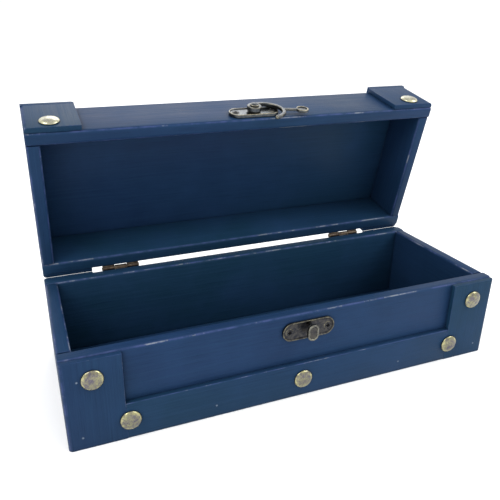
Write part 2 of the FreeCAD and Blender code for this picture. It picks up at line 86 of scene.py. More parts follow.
# %% Frames of the base, the lid and the hook
MM = 0.001
JOINTS = {joint["name"]: joint for joint in frame["joints"]}
OPEN_ANGLE = math.radians(max(JOINTS["lid_hinge"]["range_deg"]))
HOOK_DROOP = math.radians(10.3)
PIN = Vector(JOINTS["lid_hinge"]["pos_m"]) / MM
PIVOT = Vector(JOINTS["hook_pivot"]["pos_m"]) / MM

TURN = Matrix.Rotation(-OPEN_ANGLE, 4, "X")
UPRIGHT = Matrix.Rotation(math.radians(90), 4, "X")
BASE = Matrix.Identity(4)
LID = Matrix.Translation(PIN) @ TURN
HOOK = Matrix.Translation(PIVOT) @ TURN @ UPRIGHT @ Matrix.Rotation(-HOOK_DROOP, 4, "Z")
SQUARE = {"base": BASE, "lid": LID, "hook": HOOK}
BODY_OF = {node: ob["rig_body"] for node, ob in frame["nodes"].items()}


def square_box(node, square=None):
    """Low and high corner of a node in its body's square frame, in millimetres."""
    back = (square or SQUARE[BODY_OF[node]]).inverted()
    points = [back @ (v.co / MM) for v in frame["nodes"][node].data.vertices]
    low = Vector(min(p[i] for p in points) for i in range(3))
    high = Vector(max(p[i] for p in points) for i in range(3))
    return low, high


print("lid open by", round(math.degrees(OPEN_ANGLE), 2), "degrees about", tuple(PIN))

# %% [markdown]
# ## From a bmesh to a finished piece
# Every piece ends the same way: doubles merged, faces turned outwards, moved to its place,
# given its finish and tied to the body it rides on. Doing this in one helper keeps each
# later cell about shape only. The helper also writes two small attributes for the finishes.
# The first is grain, the point's place along, across and through its own board: brush marks
# follow it, so they run lengthways on every board, whichever way the board points. The
# second is proud, which says how much hands and cloths would rub the point; on the boards'
# ridges it also places a painted highlight, and where it is below zero, on metal, grime and
# painted shade are put. Three ways of judging it are used: by bumps on cast metal, by the
# ridge of a rounded edge on a board, and by the lip of a nail.

# %% Helpers that finish a piece
PIECE_COUNT = [0]
BOARD_SHIFT = Vector((37.0, 53.0, 19.0))
MERGE = 0.001


def lay_grain(mesh):
    """Write each point's place in its board, longest side first, shifted for each board."""
    spans = []
    for axis in range(3):
        values = [v.co[axis] for v in mesh.vertices]
        spans.append((max(values) - min(values), axis))
    order = [axis for span, axis in sorted(spans, reverse=True)]
    shift = BOARD_SHIFT * PIECE_COUNT[0]
    grain = mesh.attributes.new("grain", "FLOAT_VECTOR", "POINT")
    for vertex, slot in zip(mesh.vertices, grain.data):
        slot.vector = Vector(vertex.co[axis] for axis in order) + shift


def high_spots(bm, passes=2):
    """How far each point of a fine, even skin stands proud of its neighbours."""
    bm.normal_update()
    proud = []
    for vertex in bm.verts:
        leans = [(edge.other_vert(vertex).co - vertex.co).normalized().dot(vertex.normal)
                 for edge in vertex.link_edges]
        proud.append(-sum(leans) / max(1, len(leans)))
    bm.verts.index_update()
    for _ in range(passes):
        proud = [(proud[v.index] + sum(proud[e.other_vert(v).index] for e in v.link_edges))
                 / (1 + len(v.link_edges)) for v in bm.verts]
    return proud


def ridges(bm):
    """0 on a board's faces, 1 along the ridge of each rounded edge."""
    bm.normal_update()
    return [(1.0 - max(abs(part) for part in vertex.normal)) / (1.0 - math.sqrt(0.5))
            for vertex in bm.verts]


def new_piece(bm, name, body, finish, stands_for, place=None, crease=35, wear=high_spots):
    """Turn a bmesh drawn in millimetres into a piece that rides on a body.

    It stands for the nodes named in stands_for. Its faces are shaded smooth where they meet
    at less than the crease angle, and wear gives its proud attribute."""
    bmesh.ops.remove_doubles(bm, verts=bm.verts, dist=MERGE)
    bmesh.ops.recalc_face_normals(bm, faces=bm.faces)
    mesh = bpy.data.meshes.new(name)
    proud = wear(bm)
    bm.to_mesh(mesh)
    bm.free()
    mesh.attributes.new("proud", "FLOAT", "POINT").data.foreach_set("value", proud)
    PIECE_COUNT[0] += 1
    lay_grain(mesh)
    mesh.transform(Matrix.Scale(MM, 4) @ (place or SQUARE[body]))
    mesh.shade_smooth()
    mesh.set_sharp_from_angle(angle=math.radians(crease))
    mesh.materials.append(finish)
    piece = bpy.data.objects.new(name, mesh)
    bpy.context.scene.collection.objects.link(piece)
    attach(piece, body)
    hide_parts(*stands_for)
    print("made", name, "with", len(mesh.polygons), "faces")


print("piece helpers ready")

# %% [markdown]
# ## Building finishes from nodes
# A finish is a small network: a pattern decides where the surface is worn, dirty or rough,
# and the shader turns that into colour, gloss and bump. These helpers make a network short
# to write. Two of them look at the shape itself. The arris helper compares the true surface
# with the same surface seen as if its edges were rounded: where the two differ there is a
# sharp edge. The hollows helper asks how much open air a point sees, and so finds corners.

# %% Helpers for finishes
def add(tree, kind, settings=None, **inputs):
    """Add a node, set it, and fill its inputs with numbers, colours or other sockets."""
    node = tree.nodes.new("ShaderNode" + kind)
    for key, value in (settings or {}).items():
        setattr(node, key, value)
    for key, value in inputs.items():
        socket = node.inputs[int(key[1:])] if key[1:].isdigit() else node.inputs[key.replace("_", " ")]
        if isinstance(value, bpy.types.NodeSocket):
            tree.links.new(value, socket)
        else:
            socket.default_value = value
    return node


def colour(red, green, blue):
    """A screen colour from 0 to 255 as the shader's linear colour."""
    parts = [c / 255 for c in (red, green, blue)]
    return tuple(c / 12.92 if c <= 0.04045 else ((c + 0.055) / 1.055) ** 2.4 for c in parts) + (1.0,)


def empty_finish(name):
    """A new material with nothing in its network but the output."""
    finish = bpy.data.materials.new(name)
    finish.use_nodes = True
    tree = finish.node_tree
    tree.nodes.clear()
    output = add(tree, "OutputMaterial")
    return finish, tree, output


def cloud(tree, place, scale, detail=4.0, roughness=0.55):
    """Soft noise from 0 to 1."""
    made = add(tree, "TexNoise", Vector=place, Scale=scale, Detail=detail, Roughness=roughness)
    return made.outputs["Fac"]


def ramp(tree, value, low, high, to_low=0.0, to_high=1.0):
    """Stretch the part of a pattern between low and high."""
    made = add(tree, "MapRange", {"clamp": True}, Value=value, From_Min=low, From_Max=high,
               To_Min=to_low, To_Max=to_high)
    return made.outputs["Result"]


def maths(tree, operation, first, second):
    """Add, multiply or compare two patterns."""
    made = add(tree, "Math", {"operation": operation}, _0=first, _1=second)
    return made.outputs["Value"]


def mixed(tree, amount, first, second):
    """Mix two colours."""
    made = add(tree, "Mix", {"data_type": "RGBA"}, _0=amount, _6=first, _7=second)
    return made.outputs[2]


def arris(tree, radius, low, high):
    """1 on edges, 0 on flats: how far a rounded normal leans away from the true one."""
    rounded = add(tree, "Bevel", {"samples": 6}, Radius=radius)
    true = add(tree, "NewGeometry")
    lean = add(tree, "VectorMath", {"operation": "DOT_PRODUCT"},
               _0=rounded.outputs["Normal"], _1=true.outputs["Normal"])
    return ramp(tree, lean.outputs["Value"], high, low)


def hollows(tree, reach, strength):
    """Up to strength in corners and under edges, 0 in the open: the mask for painted shade, and on metal
    for grime as well.
    """
    light = add(tree, "AmbientOcclusion", {"samples": 4}, Distance=reach).outputs["AO"]
    return ramp(tree, light, 0.9, 0.35, 0.0, strength)


print("finish helpers ready")

# %% [markdown]
# ## Navy paint on wood
# The chest is brushed with a satin navy paint. Real brushed paint is never one colour: it is
# thicker in some places, shows fine streaks along the board, is rubbed pale on the corners,
# and is slightly hazy. We make broad clouds for the thick and thin patches and stretched
# noise for the brush marks. Where the board's proud attribute marks the ridge of a rounded
# edge, a broken noise lets a paler blue through, which is both rubbed paint and a painted
# highlight on the rounded edge, and in a few spots the pale ground coat. Corners and hollows
# get painted shade.

# %% The coat, before any wear
NAVY, TEAL_NAVY = colour(27, 49, 81), colour(24, 52, 74)
THIN_NAVY, STREAK_NAVY = colour(34, 60, 95), colour(34, 62, 92)
PORE_NAVY = colour(8, 27, 50)


def brushed_coat(tree, board, thick, brush, pore):
    """The coat's colour, from its slow changes along a board down to its fine pores."""
    whole = add(tree, "Mapping", Vector=board, Scale=(0.0035, 0.006, 0.006)).outputs["Vector"]
    tone = cloud(tree, whole, 1.0, 1.0)
    deep = mixed(tree, ramp(tree, tone, 0.35, 0.65), NAVY, TEAL_NAVY)
    thin = mixed(tree, ramp(tree, thick, 0.42, 0.72, 0.0, 0.6), deep, THIN_NAVY)
    streaked = mixed(tree, ramp(tree, brush, 0.45, 0.7, 0.0, 0.4), thin, STREAK_NAVY)
    return mixed(tree, ramp(tree, pore, 0.56, 0.7, 0.0, 0.45), streaked, PORE_NAVY)


print("coat ready")

# %% Its wear, painted highlight and painted shade
# RUBBED_BLUE_AND_HIGHLIGHT is both rubbed paint and a painted highlight along rounded edges; CORNER_SHADE
# is painted shade.
RUBBED_BLUE_AND_HIGHLIGHT = colour(58, 72, 114)
PALE_GROUND = colour(150, 156, 158)
CORNER_SHADE = colour(6, 16, 32)
CORNER_REACH = 0.004


def wear_highlight_and_shade(tree, where, coat):
    """The coat rubbed paler along ridges, where a painted highlight also goes, chipped in patches, and
    with painted shade in the corners.
    """
    proud = add(tree, "Attribute", {"attribute_name": "proud"}).outputs["Fac"]
    edge = ramp(tree, proud, 0.2, 0.9)
    broken = ramp(tree, cloud(tree, where, 110.0, 5.0, 0.7), 0.4, 0.6, 0.1, 1.0)
    # Paler blue along the ridges: rubbed paint, and a painted highlight on the rounded edges.
    worn_and_highlit = mixed(tree, maths(tree, "MULTIPLY", edge, broken), coat, RUBBED_BLUE_AND_HIGHLIGHT)
    patchy = ramp(tree, cloud(tree, where, 38.0, 6.0, 0.78), 0.53, 0.62)
    bare = maths(tree, "MULTIPLY", ramp(tree, proud, 0.45, 0.95), patchy)
    chipped = mixed(tree, maths(tree, "MULTIPLY", bare, 0.6), worn_and_highlit, PALE_GROUND)
    # Painted shade: the coat is darkened in corners and hollows, where shade falls.
    return mixed(tree, hollows(tree, CORNER_REACH, 0.35), chipped, CORNER_SHADE)


print("wear ready")

# %% The paint
PAINT_SPECULAR = 0.07
PAINT_RELIEF = 0.0004


def painted_wood():
    """Satin navy paint whose brush marks show in its colour, its gloss and its relief."""
    finish, tree, output = empty_finish("navy_paint_finish")
    where = add(tree, "TexCoord").outputs["Object"]
    board = add(tree, "Attribute", {"attribute_name": "grain"}).outputs["Vector"]
    stretched = add(tree, "Mapping", Vector=board, Scale=(0.012, 0.55, 0.55)).outputs["Vector"]
    pores = add(tree, "Mapping", Vector=board, Scale=(0.03, 1.5, 1.5)).outputs["Vector"]
    thick = cloud(tree, where, 16.0, 4.0, 0.6)
    brush = cloud(tree, stretched, 1.0, 5.0, 0.6)
    pore = cloud(tree, pores, 1.0, 4.0, 0.65)
    speck = cloud(tree, where, 420.0, 3.0, 0.6)

    skin = wear_highlight_and_shade(tree, where, brushed_coat(tree, board, thick, brush, pore))
    gloss = ramp(tree, maths(tree, "ADD", maths(tree, "MULTIPLY", brush, 0.5),
                             maths(tree, "MULTIPLY", thick, 0.5)), 0.35, 0.65, 0.36, 0.54)
    height = maths(tree, "ADD", maths(tree, "MULTIPLY", brush, 0.9),
                   maths(tree, "ADD", maths(tree, "MULTIPLY", pore, 0.6),
                         maths(tree, "MULTIPLY", speck, 0.25)))
    relief = add(tree, "Bump", Strength=0.4, Distance=PAINT_RELIEF, Height=height)
    shader = add(tree, "BsdfPrincipled", Base_Color=skin, Roughness=gloss,
                 Normal=relief.outputs["Normal"])
    shader.inputs["Specular IOR Level"].default_value = PAINT_SPECULAR
    tree.links.new(shader.outputs["BSDF"], output.inputs["Surface"])
    return finish


NAVY_PAINT = painted_wood()
print("finish:", NAVY_PAINT.name)

# %% [markdown]
# ## Old metal
# The nails are pale antique brass, painted brighter on the lid than on the base: a painted
# highlight for the light the lid's nails catch, not a different metal. The latch is dark
# bronze, with lighter rims where it is handled. The hinges are a browner bronze and the
# panel pins are dull steel. They are one idea with different colours: a dark patina lies
# over the metal, thin on edges and high spots, with small pits, and hollows are painted
# darker still, as grime and as painted shade. One function makes them all, so they look
# like one set.

# %% One recipe for every metal
# GRIME_AND_SHADE is both grime and painted shade in hollows, recesses and under edges.
GRIME_AND_SHADE = colour(16, 17, 21)
GRIME_AND_SHADE_REACH = 0.0015
METAL_RELIEF = 0.00018


def old_metal(name, metal, patina, edge_metal, cover, edge_radius, rough, pit_scale, metallic=1.0,
              evenly=0.3):
    """Patina over metal: cover says how much of the flat surface the patina hides, and evenly
    how unbroken the bright line along an edge is. The radius is in metres."""
    finish, tree, output = empty_finish(name)
    where = add(tree, "TexCoord").outputs["Object"]
    patch = cloud(tree, where, pit_scale * 0.3, 4.0, 0.6)
    fine = cloud(tree, where, pit_scale, 5.0, 0.7)
    pits = add(tree, "TexVoronoi", Vector=where, Scale=pit_scale * 1.3).outputs["Distance"]
    pit = ramp(tree, pits, 0.0, 0.22)

    dulled = ramp(tree, maths(tree, "ADD", maths(tree, "MULTIPLY", patch, 0.6),
                              maths(tree, "MULTIPLY", fine, 0.4)),
                  0.4, 0.6, cover * 1.35, cover * 0.4)
    body = mixed(tree, dulled, metal, patina)
    pitted = mixed(tree, ramp(tree, pit, 0.0, 1.0, 0.55, 0.0), body, patina)
    proud = add(tree, "Attribute", {"attribute_name": "proud"}).outputs["Fac"]
    edge = maths(tree, "MAXIMUM", arris(tree, edge_radius, 0.72, 0.98), ramp(tree, proud, 0.04, 0.17))
    rubbing = maths(tree, "MULTIPLY", ramp(tree, fine, 0.38, 0.6, evenly, 1.0),
                    ramp(tree, patch, 0.42, 0.58, evenly, 1.0))
    bright = maths(tree, "MULTIPLY", edge, rubbing)
    shown = mixed(tree, bright, pitted, edge_metal)
    # Grime and painted shade: hollows and concave spots are painted dark.
    grime_and_shade = maths(tree, "MAXIMUM", hollows(tree, GRIME_AND_SHADE_REACH, 0.85), ramp(tree, proud, -0.02, -0.1))
    skin = mixed(tree, grime_and_shade, shown, GRIME_AND_SHADE)

    gloss = ramp(tree, fine, 0.3, 0.7, rough + 0.12, rough - 0.08)
    height = maths(tree, "ADD", maths(tree, "MULTIPLY", pit, 0.6), maths(tree, "MULTIPLY", fine, 0.6))
    relief = add(tree, "Bump", Strength=0.35, Distance=METAL_RELIEF, Height=height)
    shader = add(tree, "BsdfPrincipled", Base_Color=skin, Roughness=gloss,
                 Normal=relief.outputs["Normal"])
    shader.inputs["Metallic"].default_value = metallic
    tree.links.new(shader.outputs["BSDF"], output.inputs["Surface"])
    return finish


print("metal recipe ready")

# %% Seven metal finishes
ANTIQUE_BRASS = old_metal(
    "nail_brass_finish", colour(156, 154, 112), colour(97, 93, 104), colour(196, 191, 140),
    cover=0.75, edge_radius=0.0009, rough=0.24, pit_scale=900.0)
# The lid's nails: the same brass painted brighter, a painted highlight for the light they catch.
PAINTED_LIT_BRASS = old_metal(
    "lid_nail_painted_lit_brass_finish", colour(192, 190, 166), colour(138, 136, 130), colour(212, 208, 168),
    cover=0.6, edge_radius=0.0009, rough=0.24, pit_scale=900.0)
DARK_BRONZE = old_metal(
    "latch_bronze_finish", colour(92, 89, 84), colour(43, 45, 52), colour(158, 153, 124),
    cover=0.8, edge_radius=0.0007, rough=0.4, pit_scale=1100.0)
RUBBED_BRONZE = old_metal(
    "rubbed_bronze_finish", colour(92, 89, 80), colour(56, 56, 60), colour(250, 248, 224),
    cover=0.8, edge_radius=0.0014, rough=0.3, pit_scale=1100.0, evenly=0.75)
HANDLED_BRONZE = old_metal(
    "handled_bronze_finish", colour(96, 98, 98), colour(52, 58, 66), colour(246, 232, 190),
    cover=0.65, edge_radius=0.0007, rough=0.3, pit_scale=1100.0, evenly=0.55)
BROWN_BRONZE = old_metal(
    "hinge_bronze_finish", colour(110, 97, 82), colour(58, 50, 46), colour(164, 150, 122),
    cover=0.7, edge_radius=0.0006, rough=0.45, pit_scale=1000.0)
DULL_STEEL = old_metal(
    "pin_steel_finish", colour(112, 128, 148), colour(56, 70, 92), colour(30, 42, 62),
    cover=0.4, edge_radius=0.0004, rough=0.5, pit_scale=1400.0, metallic=0.4)
print("finishes:", [m.name for m in (ANTIQUE_BRASS, PAINTED_LIT_BRASS, DARK_BRONZE, RUBBED_BRONZE,
                                  HANDLED_BRONZE, BROWN_BRONZE, DULL_STEEL)])

# %% [markdown]
# ## Boards with softened edges
# Each wall is one board: front and back run the full length and the ends fit between them.
# A sanded and painted board has no sharp edge, and its rim, which fingers touch, is rounded
# more, though less beside the hinges, where the two rims meet. A cube scaled to the node's
# box and then bevelled in steps gives exactly that: first the rim, then every edge that is
# still sharp. Each round has an even number of segments, so a row of points runs along its
# ridge and the wear can follow it. Two boards with softened edges leave the fine V-shaped
# line at each joint that paint never quite fills.

# %% Make a block and soften it
def block(low, high):
    """A bmesh cube stretched between two corners, in millimetres."""
    bm = bmesh.new()
    bmesh.ops.create_cube(bm, size=1.0)
    bmesh.ops.scale(bm, vec=high - low, verts=bm.verts)
    bmesh.ops.translate(bm, vec=(low + high) / 2, verts=bm.verts)
    return bm


def soften(bm, radius, segments, picked):
    """Round the edges that picked(middle, direction) chooses."""
    chosen = []
    for edge in bm.edges:
        first, last = edge.verts[0].co, edge.verts[1].co
        if picked((first + last) / 2, (last - first).normalized()):
            chosen.append(edge)
    bmesh.ops.bevel(bm, geom=chosen, offset=radius, offset_type="OFFSET", segments=segments,
                    profile=0.5, affect="EDGES", material=-1, clamp_overlap=True)


def soften_rest(bm, radius, segments=2, angle=50):
    """Round every edge that still turns by more than the angle."""
    limit = math.radians(angle)
    chosen = [e for e in bm.edges if e.is_manifold and e.calc_face_angle() > limit]
    bmesh.ops.bevel(bm, geom=chosen, offset=radius, offset_type="OFFSET", segments=segments,
                    profile=0.5, affect="EDGES", material=-1, clamp_overlap=True)


def near(first, second, margin=0.2):
    """Whether two places are the same to within a margin in millimetres."""
    return abs(first - second) < margin


print("block and bevel helpers ready")

# %% Walls, floor and top panel
RIM_ROUND = 2.4
HINGE_EDGE_ROUND = 0.8
ARRIS = 0.35


def wall_board(node, rim_is_high):
    """A wall board: its rim edges rounded along the board, the rest lightly sanded."""
    low, high = square_box(node)
    rim = high.z if rim_is_high else low.z
    run = 0 if high.x - low.x > high.y - low.y else 1
    hinged = high.y if "rear" in node else math.inf
    bm = block(low, high)
    soften(bm, RIM_ROUND, 6,
           lambda middle, way: near(middle.z, rim) and abs(way[run]) > 0.9 and not near(middle.y, hinged))
    soften(bm, HINGE_EDGE_ROUND, 4, lambda middle, way: near(middle.z, rim) and near(middle.y, hinged))
    soften_rest(bm, ARRIS)
    new_piece(bm, node + "_board", BODY_OF[node], NAVY_PAINT, (node,),
              wear=ridges)


def thin_panel(node):
    """The floor or the lid's panel, lightly sanded all round."""
    bm = block(*square_box(node))
    soften_rest(bm, ARRIS)
    new_piece(bm, node + "_board", BODY_OF[node], NAVY_PAINT, (node,),
              wear=ridges)


for side in ("front", "rear", "left", "right"):
    wall_board(f"base_{side}_wall", True)
    wall_board(f"lid_{side}_wall", False)
thin_panel("base_floor")
thin_panel("lid_top_panel")

# %% [markdown]
# ## Bands and the bottom strip
# Flat bands are nailed over the ends of the chest and lid, and a strip joins them along the
# foot. They are what gives the front its sunken panel. Their outer upright edges are rounded
# by three millimetres, much more than the rest, because that is where the chest is handled.
# The same block and bevel steps do, with the outer edge picked by its place.

# %% Bands
CORNER_ROUND = 3.0
BAND_ROUND = 0.9
CROWN_ROUND = 2.2


def upright_band(node, side, outward):
    """A band on a front (outward -1) or back (outward 1) wall, at one end of the chest."""
    low, high = square_box(node)
    end = low.x if side < 0 else high.x
    skin = low.y if outward < 0 else high.y
    bm = block(low, high)
    soften(bm, CORNER_ROUND, 6,
           lambda middle, way: near(middle.x, end) and near(middle.y, skin) and abs(way.z) > 0.9)
    soften(bm, BAND_ROUND, 4,
           lambda middle, way: near(middle.y, skin) and not near(middle.x, end, 1.0))
    soften_rest(bm, ARRIS)
    new_piece(bm, node + "_batten", BODY_OF[node], NAVY_PAINT, (node,),
              wear=ridges)


def crown_band(node, side):
    """The band across the lid's top: it covers the ends of the front and back bands."""
    low, high = square_box(node)
    inner = high.x if side < 0 else low.x
    bm = block(low, high)
    soften(bm, CROWN_ROUND, 6, lambda middle, way: near(middle.z, high.z) and near(middle.x, inner))
    soften(bm, CROWN_ROUND * 0.6, 4,
           lambda middle, way: near(middle.z, high.z) and not near(middle.x, inner, 1.5))
    soften_rest(bm, ARRIS)
    new_piece(bm, node + "_batten", BODY_OF[node], NAVY_PAINT, (node,),
              wear=ridges)


for name, side in (("left", -1), ("right", 1)):
    for part in ("base", "lid"):
        upright_band(f"{part}_front_band_{name}", side, -1)
        upright_band(f"{part}_rear_band_{name}", side, 1)
    crown_band(f"lid_top_band_{name}", side)

low, high = square_box("base_front_bottom_strip")
strip = block(low, high)
soften(strip, BAND_ROUND, 4, lambda middle, way: near(middle.y, low.y) and abs(way.x) > 0.9)
soften_rest(strip, ARRIS)
new_piece(strip, "base_front_bottom_batten", "base", NAVY_PAINT,
          ("base_front_bottom_strip",), wear=ridges)

# %% [markdown]
# ## Domed nails
# A chest nail is stamped from brass sheet: a shallow dome with a rolled lip, dented a little
# where the hammer met it. It is round, so we draw half its outline once and spin it. The
# dents come from moving the dome's points by a smooth noise, different on every nail. All
# the nails of one node become one piece, so each is placed where the node has a solid.

# %% Spin an outline, join shapes, turn them to the front
def spun(outline, steps=48):
    """Spin an outline of (radius, height) points round the upright axis into a closed shape."""
    bm = bmesh.new()
    verts = [bm.verts.new((radius, 0.0, height)) for radius, height in outline]
    edges = [bm.edges.new(pair) for pair in zip(verts, verts[1:])]
    bmesh.ops.spin(bm, geom=verts + edges, cent=(0, 0, 0), axis=(0, 0, 1),
                   angle=math.radians(360), steps=steps, use_merge=True)
    bmesh.ops.remove_doubles(bm, verts=bm.verts, dist=MERGE)
    bmesh.ops.recalc_face_normals(bm, faces=bm.faces)
    return bm


def join(parts):
    """Put several bmeshes into one."""
    whole = bmesh.new()
    for part in parts:
        spare = bpy.data.meshes.new("spare")
        part.to_mesh(spare)
        part.free()
        whole.from_mesh(spare)
        bpy.data.meshes.remove(spare)
    return whole


def facing(x, y, z, turn=0.0):
    """From a plan drawn x right, y up, z outwards to a place on a front face."""
    return Matrix.Translation((x, y, z)) @ UPRIGHT @ Matrix.Rotation(turn, 4, "Z")


print("outline helpers ready")

# %% One domed nail
NAIL_RADIUS = 7.5
NAIL_RISE = 3.0
NAIL_LIP = 0.55
SHANK_RADIUS = 0.9
SHANK_LENGTH = 11.0
DENT, RIPPLE, SETTLE = 0.16, 0.05, 0.05


def domed_nail(seed):
    """One nail, its head's underside at height 0, with dents of its own."""
    dome = NAIL_RISE - NAIL_LIP
    head = [(NAIL_RADIUS * math.cos(a), NAIL_LIP + dome * math.sin(a)) for a in
            [math.radians(d) for d in range(0, 91, 9)]]
    head[-1] = (0.0, NAIL_RISE)
    shank = [(0.0, -SHANK_LENGTH), (0.5, -9.6), (SHANK_RADIUS, -8.6), (SHANK_RADIUS, 0.0)]
    lip = [(NAIL_RADIUS - 0.5, 0.0), (NAIL_RADIUS - 0.15, 0.12)]
    bm = spun(shank + lip + head, 56)
    for vertex in bm.verts:
        if vertex.co.z > 0.5:
            bump = noise.noise(vertex.co * 0.45 + Vector((seed * 9.1, 3.7, 1.3)))
            ripple = noise.noise(vertex.co * 1.1 + Vector((seed * 4.3, 8.2, 5.1)))
            vertex.co.z += DENT * bump + RIPPLE * ripple - SETTLE
    return bm


print("nail heads", 2 * NAIL_RADIUS, "mm across")

# %% Find each nail's place and set them
def node_copy(node):
    """A merged copy of a node's mesh, in millimetres in its body's square frame."""
    copy = bmesh.new()
    copy.from_mesh(frame["nodes"][node].data)
    bmesh.ops.transform(copy, matrix=SQUARE[BODY_OF[node]].inverted() @ Matrix.Scale(1 / MM, 4),
                        verts=copy.verts)
    bmesh.ops.remove_doubles(copy, verts=copy.verts, dist=MERGE)
    return copy


def centres_in(node):
    """The middle, in the square frame, of each solid that a node holds, from left to right."""
    copy = node_copy(node)
    left = set(copy.verts)
    centres = []
    while left:
        solid, front = set(), [left.pop()]
        while front:
            vertex = front.pop()
            solid.add(vertex)
            linked = {edge.other_vert(vertex) for edge in vertex.link_edges} & left
            left -= linked
            front += linked
        centres.append(Vector((min(v.co[i] for v in solid) + max(v.co[i] for v in solid)) / 2
                              for i in range(3)))
    copy.free()
    return sorted(centres, key=lambda p: (p.x, p.z))


def towards_lip(bm):
    """0 in the middle of a front-facing dome, growing towards its lip, which gets polished."""
    bm.normal_update()
    return [1.0 + vertex.normal.y for vertex in bm.verts]


def nail_set(node, body, band, finish):
    """All nails of one node, on the face of the band they hold."""
    face = square_box(band)[0].y
    nails = []
    for number, centre in enumerate(centres_in(node)):
        nail = domed_nail(number + len(body))
        nail.transform(facing(centre.x, face, centre.z, number * 1.9))
        nails.append(nail)
    new_piece(join(nails), node + "_domed", body, finish, (node,), crease=60,
              wear=towards_lip)


nail_set("base_front_nails", "base", "base_front_band_left", ANTIQUE_BRASS)
nail_set("lid_front_nails", "lid", "lid_front_band_left", PAINTED_LIT_BRASS)

# %% [markdown]
# ## Panel pins
# Small headless pins help the bands to hold. Each was punched just under the surface and
# painted over, so only a dull dot shows. A short spun plug with a faint dome is enough.

# %% Pins
PIN_LENGTH = 9.0
PIN_RADIUS = 0.75


def pin_plug():
    """A headless pin whose end stands a hair's breadth above height 0."""
    outline = [(0.0, -PIN_LENGTH), (0.72, -PIN_LENGTH), (PIN_RADIUS, -0.3), (0.82, 0.0),
               (0.6, 0.12), (0.0, 0.18)]
    return spun(outline, 20)


pins = []
pin_face = square_box("base_front_band_left")[0].y
for centre in centres_in("base_band_pins"):
    plug = pin_plug()
    plug.transform(facing(centre.x, pin_face, centre.z))
    pins.append(plug)
new_piece(join(pins), "base_band_pins_set", "base", DULL_STEEL, ("base_band_pins",),
          wear=towards_lip)

# %% [markdown]
# ## Metal that looks cast
# The hook, the catch and the hinge leaves were cast or pressed in one piece, so where two
# shapes meet there is a soft fillet. It is hard to draw such a fillet, and easy to grow it:
# overlap simple closed shapes, wrap one fine skin of even quads round all of them, then
# relax the skin a little. The wrap is Blender's voxel remesh.

# %% Wrap overlapping shapes in one skin
SKIN_VOXEL = 0.24
FINE_VOXEL = 0.2


def cast(parts, voxel=SKIN_VOXEL, relax=3):
    """One smooth closed skin round several overlapping closed bmeshes, in millimetres."""
    rough = bpy.data.meshes.new("rough")
    whole = join(parts)
    whole.to_mesh(rough)
    whole.free()
    pattern = bpy.data.objects.new("rough", rough)
    bpy.context.scene.collection.objects.link(pattern)
    wrap = pattern.modifiers.new("wrap", "REMESH")
    wrap.mode = "VOXEL"
    wrap.voxel_size = voxel
    wrapped = pattern.evaluated_get(bpy.context.evaluated_depsgraph_get()).to_mesh()
    skin = bmesh.new()
    skin.from_mesh(wrapped)
    bpy.data.objects.remove(pattern)
    bpy.data.meshes.remove(rough)
    for _ in range(relax):
        bmesh.ops.smooth_vert(skin, verts=skin.verts, factor=0.5,
                              use_axis_x=True, use_axis_y=True, use_axis_z=True)
    return skin


print("skins of about", SKIN_VOXEL, "mm")

# %% Round and long shapes to wrap
def disc(radius, bottom, top, lip=0.3, x=0.0, y=0.0):
    """A round slug with softened rims, drawn in plan."""
    outline = [(0.0, bottom), (radius - lip, bottom), (radius - 0.3 * lip, bottom + 0.3 * lip),
               (radius, bottom + lip), (radius, top - lip), (radius - 0.3 * lip, top - 0.3 * lip),
               (radius - lip, top), (0.0, top)]
    bm = spun(outline, 40)
    bmesh.ops.translate(bm, vec=(x, y, 0), verts=bm.verts)
    return bm


def stadium(length, height, bottom, top):
    """A plate with half-round ends, centred on the plan's origin: a circle pulled apart."""
    bm = bmesh.new()
    sides = 44
    half_side = Matrix.Rotation(math.pi / sides, 3, "Z")
    bmesh.ops.create_circle(bm, cap_ends=True, segments=sides, radius=min(length, height) / 2)
    bmesh.ops.rotate(bm, cent=(0, 0, 0), matrix=half_side, verts=bm.verts)
    along = 0 if length > height else 1
    pull = Vector((0, 0, 0))
    pull[along] = abs(length - height) / 2
    for way in (-1, 1):
        half = [v for v in bm.verts if v.co[along] * way > 0]
        bmesh.ops.translate(bm, vec=pull * way, verts=half)
    bmesh.ops.translate(bm, vec=(0, 0, bottom), verts=bm.verts)
    made = bmesh.ops.extrude_face_region(bm, geom=bm.faces[:])
    lifted = [g for g in made["geom"] if isinstance(g, bmesh.types.BMVert)]
    bmesh.ops.translate(bm, vec=(0, 0, top - bottom), verts=lifted)
    bmesh.ops.recalc_face_normals(bm, faces=bm.faces)
    return bm


def top_face(bm):
    """The highest face that looks upwards."""
    level = (face for face in bm.faces if face.normal.z > 0.9)
    return max(level, key=lambda face: face.calc_center_median().z)


print("plan shapes ready")

# %% [markdown]
# ## Latch plates
# Both plates are small stadium shapes with a raised rim and a sunk face. Inset and push down
# the top face, then grow a skin round the plate, which rounds all its edges: the rim catches
# the light the way a polished edge on old bronze does. Each screw sits on the sunk face.

# %% Two plates
PLATE_RIM = 0.85
PLATE_SLOPE = 0.35
PLATE_DISH = 0.8
PLATE_VOXEL = 0.25


def latch_plate(node, body, finish):
    """A rimmed plate the size of its node, wrapped in one skin."""
    low, high = square_box(node)
    thickness = high.y - low.y
    bm = stadium(high.x - low.x, high.z - low.z, 0.0, thickness)
    bm.normal_update()
    face = top_face(bm)
    bmesh.ops.inset_region(bm, faces=[face], thickness=PLATE_RIM, use_even_offset=True)
    bmesh.ops.inset_region(bm, faces=[face], thickness=PLATE_SLOPE, depth=-PLATE_DISH,
                           use_even_offset=True)
    middle = (low + high) / 2
    new_piece(cast([bm], PLATE_VOXEL, 2), node + "_pressed", body, finish, (node,),
              SQUARE[body] @ facing(middle.x, high.y, middle.z), crease=60)


latch_plate("catch_plate", "base", DARK_BRONZE)
latch_plate("hook_plate", "lid", HANDLED_BRONZE)

